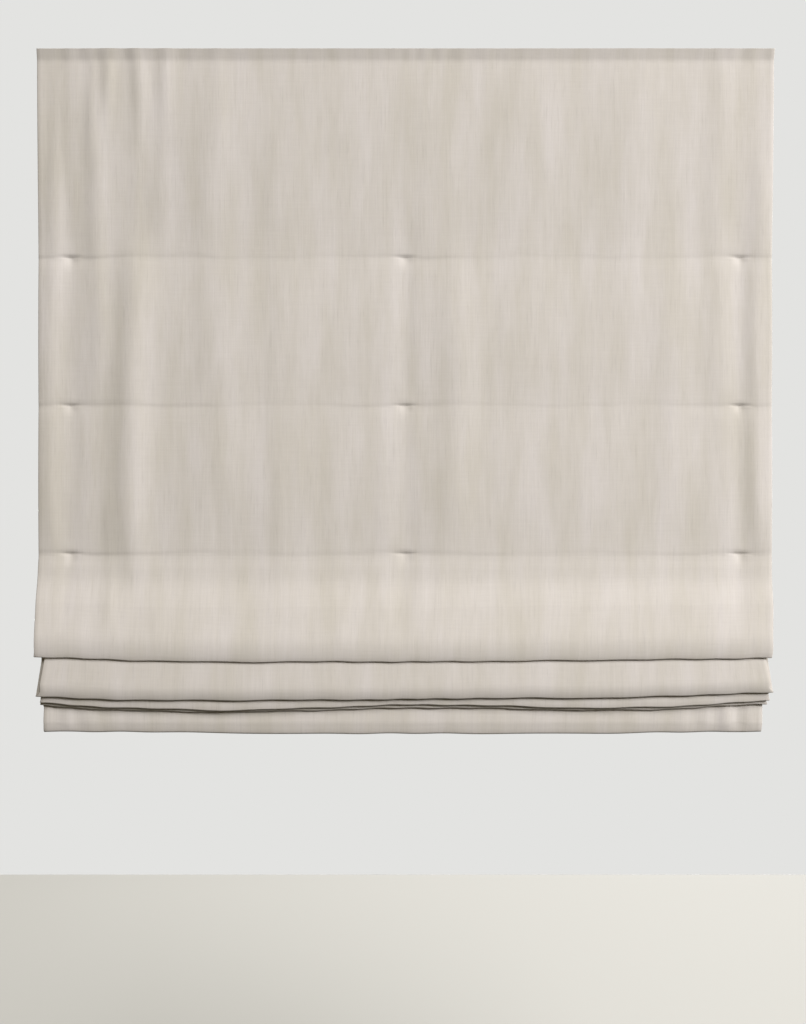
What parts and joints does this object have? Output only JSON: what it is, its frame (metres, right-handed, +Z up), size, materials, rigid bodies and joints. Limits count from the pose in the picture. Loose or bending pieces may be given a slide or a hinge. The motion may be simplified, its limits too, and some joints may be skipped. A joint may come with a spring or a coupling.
{
  "type": "roman blind",
  "caption": "Flat Roman blind with rows of rings, gathered folds at the bottom and a cordless spring headrail, for mounting inside a window recess.",
  "frame": {"origin": "middle of the four screw holes, on the brackets' faces that meet the head of the window", "axes": "+X along the headrail to the right seen from the room, +Y towards the window, +Z up"},
  "size_m": [0.914, 0.0677, 0.851],
  "materials": {
    "face_linen": "woven linen",
    "lining_cotton": "plain woven cotton sateen",
    "headrail_paint": "powder coated",
    "cap_plastic": "moulded",
    "bracket_steel": "zinc plated",
    "hook_tape": "moulded hooks on woven tape",
    "loop_tape": "napped loops",
    "shaft_aluminium": "extruded",
    "spool_plastic": "moulded",
    "cradle_plastic": "moulded",
    "spring_steel": "oiled",
    "cord_polyester": "braided",
    "ring_plastic": "moulded, clear white",
    "stop_plastic": "moulded",
    "bar_aluminium": "mill finish"
  },
  "bodies": {
    "headrail": {"headrail_channel": "headrail_paint", "hook_tape": "hook_tape", "loop_tape": "loop_tape", "face_fabric": "face_linen", "lining": "lining_cotton", "torsion_spring": "spring_steel", "spring_anchor": "cradle_plastic", "end_cap_left": "cap_plastic", "end_cap_right": "cap_plastic", "bracket_left": "bracket_steel", "bracket_right": "bracket_steel", "cam_rivet_left": "bracket_steel", "cam_rivet_right": "bracket_steel", "cord_cradle_left": "cradle_plastic", "cord_cradle_middle": "cradle_plastic", "cord_cradle_right": "cradle_plastic", "lift_cord_left": "cord_polyester", "lift_cord_middle": "cord_polyester", "lift_cord_right": "cord_polyester"},
    "weight_bar": {"weight_bar": "bar_aluminium"},
    "shaft": {"lift_shaft": "shaft_aluminium", "spring_driver": "spool_plastic", "lift_spool_left": "spool_plastic", "lift_spool_middle": "spool_plastic", "lift_spool_right": "spool_plastic", "cord_turns_left": "cord_polyester", "cord_turns_middle": "cord_polyester", "cord_turns_right": "cord_polyester"},
    "cam_lever_left": {"cam_lever_left": "bracket_steel"},
    "cam_lever_right": {"cam_lever_right": "bracket_steel"},
    "ring_row_1": {"ring_1_left": "ring_plastic", "ring_1_middle": "ring_plastic", "ring_1_right": "ring_plastic"},
    "ring_row_2": {"ring_2_left": "ring_plastic", "ring_2_middle": "ring_plastic", "ring_2_right": "ring_plastic"},
    "ring_row_3": {"ring_3_left": "ring_plastic", "ring_3_middle": "ring_plastic", "ring_3_right": "ring_plastic"},
    "ring_row_4": {"ring_4_left": "ring_plastic", "ring_4_middle": "ring_plastic", "ring_4_right": "ring_plastic"},
    "ring_row_5": {"ring_5_left": "ring_plastic", "ring_5_middle": "ring_plastic", "ring_5_right": "ring_plastic"},
    "ring_row_6": {"ring_6_left": "ring_plastic", "ring_6_middle": "ring_plastic", "ring_6_right": "ring_plastic"},
    "ring_row_7": {"ring_7_left": "ring_plastic", "ring_7_middle": "ring_plastic", "ring_7_right": "ring_plastic", "cord_stop_left": "stop_plastic", "cord_stop_middle": "stop_plastic", "cord_stop_right": "stop_plastic"}
  },
  "joints": [
    {"name": "lift", "type": "slide", "parent": "headrail", "child": "weight_bar", "axis": [0, 0, 1], "range_m": [-0.615, 0.5], "deforming": ["face_fabric", "lining", "lift_cord_left", "lift_cord_middle", "lift_cord_right"]},
    {"name": "ring_row_1_lift", "type": "slide", "parent": "headrail", "child": "ring_row_1", "axis": [0, 0, 1], "range_m": [-0.1234, 0.1005]},
    {"name": "ring_row_2_lift", "type": "slide", "parent": "headrail", "child": "ring_row_2", "axis": [0, 0, 1], "range_m": [-0.3163, 0.2573]},
    {"name": "ring_row_3_lift", "type": "slide", "parent": "headrail", "child": "ring_row_3", "axis": [0, 0, 1], "range_m": [-0.506, 0.4116]},
    {"name": "ring_row_4_lift", "type": "slide", "parent": "headrail", "child": "ring_row_4", "axis": [0, 0, 1], "range_m": [-0.5761, 0.4686]},
    {"name": "ring_row_5_lift", "type": "slide", "parent": "headrail", "child": "ring_row_5", "axis": [0, 0, 1], "range_m": [-0.5799, 0.4716]},
    {"name": "ring_row_6_lift", "type": "slide", "parent": "headrail", "child": "ring_row_6", "axis": [0, 0, 1], "range_m": [-0.5834, 0.4745]},
    {"name": "ring_row_7_lift", "type": "slide", "parent": "headrail", "child": "ring_row_7", "axis": [0, 0, 1], "range_m": [-0.5868, 0.4772]},
    {"name": "shaft_turn", "type": "hinge", "parent": "headrail", "child": "shaft", "pos_m": [0, 0, -0.02], "axis": [-1, 0, 0], "range_deg": [-4364, 3549]},
    {"name": "cam_left_turn", "type": "hinge", "parent": "headrail", "child": "cam_lever_left", "pos_m": [-0.305, 0.005, -0.004], "axis": [0, 0, -1], "range_deg": [0, 90]},
    {"name": "cam_right_turn", "type": "hinge", "parent": "headrail", "child": "cam_lever_right", "pos_m": [0.305, 0.005, -0.004], "axis": [0, 0, 1], "range_deg": [0, 90]}
  ],
  "couplings": [
    {"joint": "ring_row_1_lift", "follows": "lift", "ratio": 0.19909},
    {"joint": "ring_row_2_lift", "follows": "lift", "ratio": 0.51263},
    {"joint": "ring_row_3_lift", "follows": "lift", "ratio": 0.82119},
    {"joint": "ring_row_4_lift", "follows": "lift", "ratio": 0.93519},
    {"joint": "ring_row_5_lift", "follows": "lift", "ratio": 0.94122},
    {"joint": "ring_row_6_lift", "follows": "lift", "ratio": 0.94698},
    {"joint": "ring_row_7_lift", "follows": "lift", "ratio": 0.95249},
    {"joint": "shaft_turn", "follows": "lift", "rad_per_m": 123.7}
  ]
}
